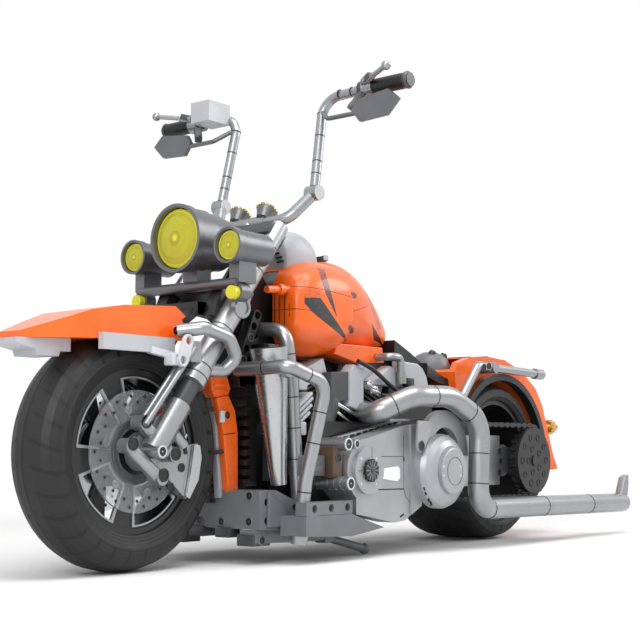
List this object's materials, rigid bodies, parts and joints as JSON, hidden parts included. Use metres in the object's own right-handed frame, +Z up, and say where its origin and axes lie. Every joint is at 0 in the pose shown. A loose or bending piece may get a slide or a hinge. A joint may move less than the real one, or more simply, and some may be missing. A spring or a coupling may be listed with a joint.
{
  "type": "chopper motorcycle model",
  "caption": "Brick-built model of a chopper motorcycle with raked fork, high handlebar, twin-cylinder engine, arched exhaust and side stand; its wheels, steering and stand move.",
  "frame": {"origin": "on the floor, under the middle of the motorcycle's whole length and width", "axes": "+X forward along the motorcycle, +Y to the rider's left, +Z up"},
  "size_m": [0.575, 0.214, 0.3043],
  "materials": {
    "tyre_black": "matt",
    "plastic_black": "satin",
    "plastic_dark_grey": "satin",
    "plastic_light_grey": "satin",
    "plastic_orange": "gloss",
    "metal_silver": "metallic",
    "metal_dark_silver": "metallic",
    "clear": "clear",
    "lens_yellow": "clear",
    "gold": "metallic"
  },
  "bodies": {
    "frame": {"chain": "plastic_dark_grey", "frame": "plastic_black", "head_housing": "plastic_light_grey", "tank": "plastic_orange", "tank_cap": "plastic_black", "seat": "plastic_black", "seat_pad": "plastic_dark_grey", "rear_fender": "plastic_orange", "fender_liner": "plastic_black", "fender_struts": "metal_silver", "tail_light": "gold", "swingarm": "metal_silver", "down_tube": "plastic_orange", "front_strips": "plastic_light_grey", "front_beam": "plastic_black", "radiator": "plastic_black", "shields": "metal_silver", "pipes": "metal_silver", "crash_bars": "metal_silver", "lower_panels": "plastic_dark_grey", "foot_pegs": "metal_silver", "footboards": "plastic_dark_grey", "engine_block": "plastic_black", "cylinders": "plastic_dark_grey", "rocker_covers": "plastic_light_grey", "engine_covers": "plastic_light_grey", "intake_pipe": "metal_silver", "primary_cover": "metal_dark_silver", "primary_gear": "plastic_black", "clutch_dome": "metal_dark_silver", "clutch_plate": "metal_silver", "dome_arch": "metal_silver", "exhaust": "metal_silver", "stand_mount": "plastic_dark_grey"},
    "front_wheel": {"front_tyre": "tyre_black", "front_rim": "plastic_black", "rim_frames": "metal_silver", "front_disc": "clear"},
    "rear_wheel": {"rear_tyre": "tyre_black", "rear_rim": "plastic_black", "sprocket": "plastic_black"},
    "fork": {"fork_tubes": "metal_silver", "fork_sliders": "plastic_dark_grey", "front_axle": "metal_silver", "fork_struts": "metal_silver", "front_fender": "plastic_orange", "fender_plate": "plastic_light_grey", "fork_loop": "metal_silver", "lamp_bar": "metal_dark_silver", "headlamp_shell": "metal_dark_silver", "headlamp_lens": "lens_yellow", "spot_shells": "metal_dark_silver", "lamp_lenses": "lens_yellow", "handlebar": "metal_silver", "grips": "plastic_black", "levers": "metal_silver", "mirrors": "plastic_dark_grey", "reservoir": "plastic_light_grey", "gauges": "metal_dark_silver"},
    "stand": {"side_stand": "plastic_dark_grey"}
  },
  "joints": [
    {"name": "steering", "type": "hinge", "parent": "frame", "child": "fork", "pos_m": [0.10841, 0, 0.17503], "axis": [-0.6088, 0, 0.7934], "range_deg": [-25, 25]},
    {"name": "front_wheel_spin", "type": "hinge", "parent": "fork", "child": "front_wheel", "pos_m": [0.2062, 0, 0.0673], "axis": [0, 1, 0], "continuous": true},
    {"name": "rear_wheel_spin", "type": "hinge", "parent": "frame", "child": "rear_wheel", "pos_m": [-0.1552, 0, 0.0595], "axis": [0, 1, 0], "continuous": true},
    {"name": "side_stand_fold", "type": "hinge", "parent": "frame", "child": "stand", "pos_m": [0.0585, 0.03, 0.0132], "axis": [0, 1, 0], "range_deg": [0, 30]}
  ]
}
